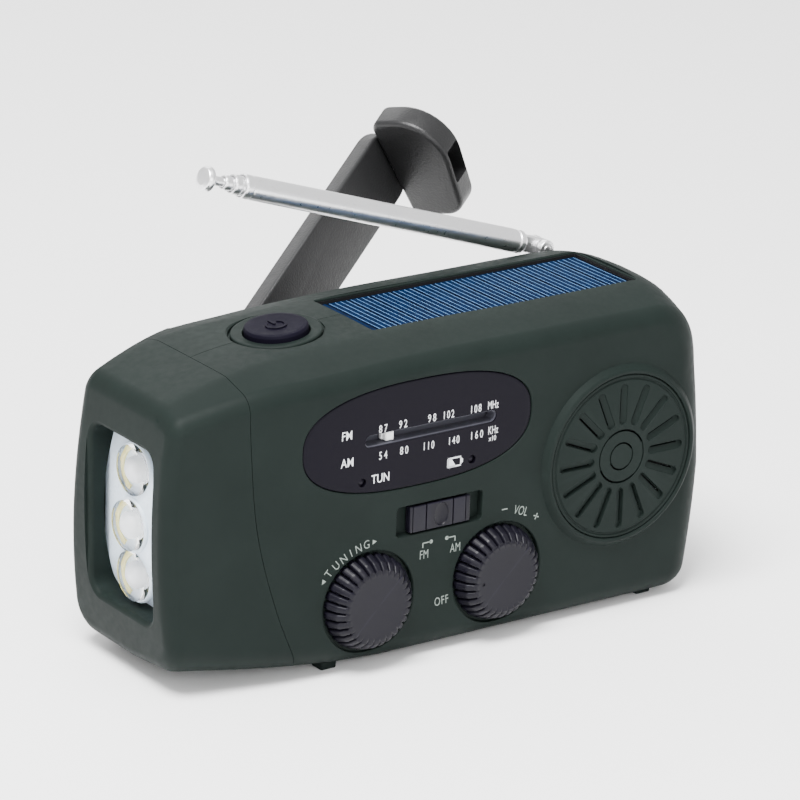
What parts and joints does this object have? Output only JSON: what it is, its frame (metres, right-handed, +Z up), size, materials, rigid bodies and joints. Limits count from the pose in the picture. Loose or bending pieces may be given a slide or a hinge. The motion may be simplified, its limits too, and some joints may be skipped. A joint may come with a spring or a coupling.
{
  "type": "emergency radio",
  "caption": "Hand-crank and solar emergency radio with a torch at one end, tuning dial, speaker, folding crank and telescopic antenna.",
  "frame": {"origin": "centre of the case's flat underside, with the feet reaching 1 mm below it", "axes": "+X towards the speaker end, away from the torch; -Y is the front with the dial and knobs; +Z up"},
  "size_m": [0.1237, 0.0886, 0.0897],
  "materials": {
    "case_plastic": "soft-touch dark green",
    "knob_plastic": "satin purple-grey",
    "crank_plastic": "grained dark grey",
    "window_print": "semi-gloss printed window",
    "white_plastic": "white",
    "lamp_clear": "clear bowed lens",
    "reflector_silver": "metallised",
    "led_dome": "clear dome over yellow phosphor",
    "solar_cells": "blue cells under resin",
    "chrome_steel": "polished",
    "zinc_steel": "zinc plated",
    "board_green": "solder mask",
    "black_plastic": "moulded",
    "nylon_natural": "natural nylon",
    "brass_turned": "turned",
    "ferrite_black": "sintered ferrite",
    "copper_wire": "wound enamelled wire",
    "cone_paper": "paper cone",
    "battery_wrap": "shrink wrap"
  },
  "bodies": {
    "case": {"front_housing": "case_plastic", "rear_housing": "case_plastic", "lamp_head": "case_plastic", "lamp_lens": "lamp_clear", "lamp_reflector": "reflector_silver", "lamp_leds": "led_dome", "lamp_board": "board_green", "button_bezel": "case_plastic", "lamp_switch": "black_plastic", "switch_board": "board_green", "solar_panel": "solar_cells", "dial_window": "window_print", "dial_scale": "black_plastic", "pointer_rail": "zinc_steel", "indicator_lamps": "led_dome", "tuning_capacitor": "white_plastic", "volume_control": "zinc_steel", "band_switch": "zinc_steel", "speaker_grille": "case_plastic", "speaker_frame": "zinc_steel", "speaker_magnet": "ferrite_black", "speaker_cone": "cone_paper", "main_board": "board_green", "board_posts": "case_plastic", "board_screws": "zinc_steel", "ferrite_rod": "ferrite_black", "antenna_coil": "copper_wire", "rod_clips": "nylon_natural", "battery": "battery_wrap", "battery_cradle": "black_plastic", "usb_port": "zinc_steel", "charge_port": "zinc_steel", "case_screws": "zinc_steel", "feet": "case_plastic", "crank_bush": "nylon_natural", "compound_axle": "zinc_steel", "generator": "zinc_steel", "gearbox_plate": "zinc_steel"},
    "button": {"lamp_button": "knob_plastic"},
    "pointer": {"dial_pointer": "white_plastic"},
    "tuning": {"tuning_knob": "knob_plastic", "tuning_shaft": "nylon_natural"},
    "volume": {"volume_knob": "knob_plastic", "volume_shaft": "nylon_natural"},
    "band": {"band_slider": "knob_plastic"},
    "cover": {"port_cover": "black_plastic"},
    "crank": {"crank_hub": "crank_plastic", "crank_hinge_pin": "zinc_steel", "drive_gear": "nylon_natural"},
    "arm": {"crank_arm": "crank_plastic", "grip_pin": "zinc_steel"},
    "grip": {"crank_grip": "crank_plastic"},
    "compound": {"compound_gear": "nylon_natural"},
    "rotor": {"generator_pinion": "brass_turned"},
    "antenna_swivel": {"antenna_base": "chrome_steel", "antenna_pin": "chrome_steel"},
    "antenna_1": {"antenna_section_1": "chrome_steel"},
    "antenna_2": {"antenna_section_2": "chrome_steel"},
    "antenna_3": {"antenna_section_3": "chrome_steel"},
    "antenna_4": {"antenna_section_4": "chrome_steel"}
  },
  "joints": [
    {"name": "crank_spin", "type": "hinge", "parent": "case", "child": "crank", "pos_m": [-0.0215, 0, 0.0351], "axis": [0, 1, 0], "continuous": true},
    {"name": "crank_fold", "type": "hinge", "parent": "crank", "child": "arm", "pos_m": [-0.0215, 0.0278, 0.0351], "axis": [-0.497, 0, 0.8678], "range_deg": [-13, 45]},
    {"name": "grip_spin", "type": "hinge", "parent": "arm", "child": "grip", "pos_m": [0.03962, 0.05916, 0.0701], "axis": [0.353, -0.9135, 0.2021], "continuous": true},
    {"name": "compound_spin", "type": "hinge", "parent": "case", "child": "compound", "pos_m": [-0.0102, 0, 0.02719], "axis": [0, 1, 0], "continuous": true},
    {"name": "rotor_spin", "type": "hinge", "parent": "case", "child": "rotor", "pos_m": [0.00122, 0, 0.03251], "axis": [0, 1, 0], "continuous": true},
    {"name": "tuning_turn", "type": "hinge", "parent": "case", "child": "tuning", "pos_m": [-0.0188, 0, 0.0127], "axis": [0, 1, 0], "range_deg": [-34.8, 209.1]},
    {"name": "pointer_slide", "type": "slide", "parent": "case", "child": "pointer", "axis": [1, 0, 0], "range_m": [-0.0032, 0.0192]},
    {"name": "volume_turn", "type": "hinge", "parent": "case", "child": "volume", "pos_m": [0.0109, 0, 0.0127], "axis": [0, 1, 0], "range_deg": [0, 270]},
    {"name": "band_slide", "type": "slide", "parent": "case", "child": "band", "axis": [1, 0, 0], "range_m": [-0.0024, 0.0024]},
    {"name": "button_press", "type": "slide", "parent": "case", "child": "button", "axis": [0.1045, 0, -0.9945], "range_m": [0, 0.0008], "stiffness_N_per_m": 600, "springref_m": -0.001},
    {"name": "cover_swing", "type": "hinge", "parent": "case", "child": "cover", "pos_m": [0.035, 0.0216, 0.0067], "axis": [-1, 0, 0], "range_deg": [0, 105]},
    {"name": "antenna_turn", "type": "hinge", "parent": "case", "child": "antenna_swivel", "pos_m": [0.0505, 0.0203, 0.0602], "axis": [0, 0, -1], "range_deg": [0, 46]},
    {"name": "antenna_tilt", "type": "hinge", "parent": "antenna_swivel", "child": "antenna_1", "pos_m": [0.0505, 0.0203, 0.0602], "axis": [0, 1, 0], "range_deg": [-18, 100]},
    {"name": "antenna_pull_2", "type": "slide", "parent": "antenna_1", "child": "antenna_2", "axis": [-0.9511, 0, 0.309], "range_m": [0, 0.06]},
    {"name": "antenna_pull_3", "type": "slide", "parent": "antenna_2", "child": "antenna_3", "axis": [-0.9511, 0, 0.309], "range_m": [0, 0.058]},
    {"name": "antenna_pull_4", "type": "slide", "parent": "antenna_3", "child": "antenna_4", "axis": [-0.9511, 0, 0.309], "range_m": [0, 0.056]}
  ],
  "couplings": [
    {"joint": "compound_spin", "follows": "crank_spin", "ratio": -3.6},
    {"joint": "rotor_spin", "follows": "crank_spin", "ratio": 11.52},
    {"joint": "pointer_slide", "follows": "tuning_turn", "m_per_rad": 0.00526}
  ]
}
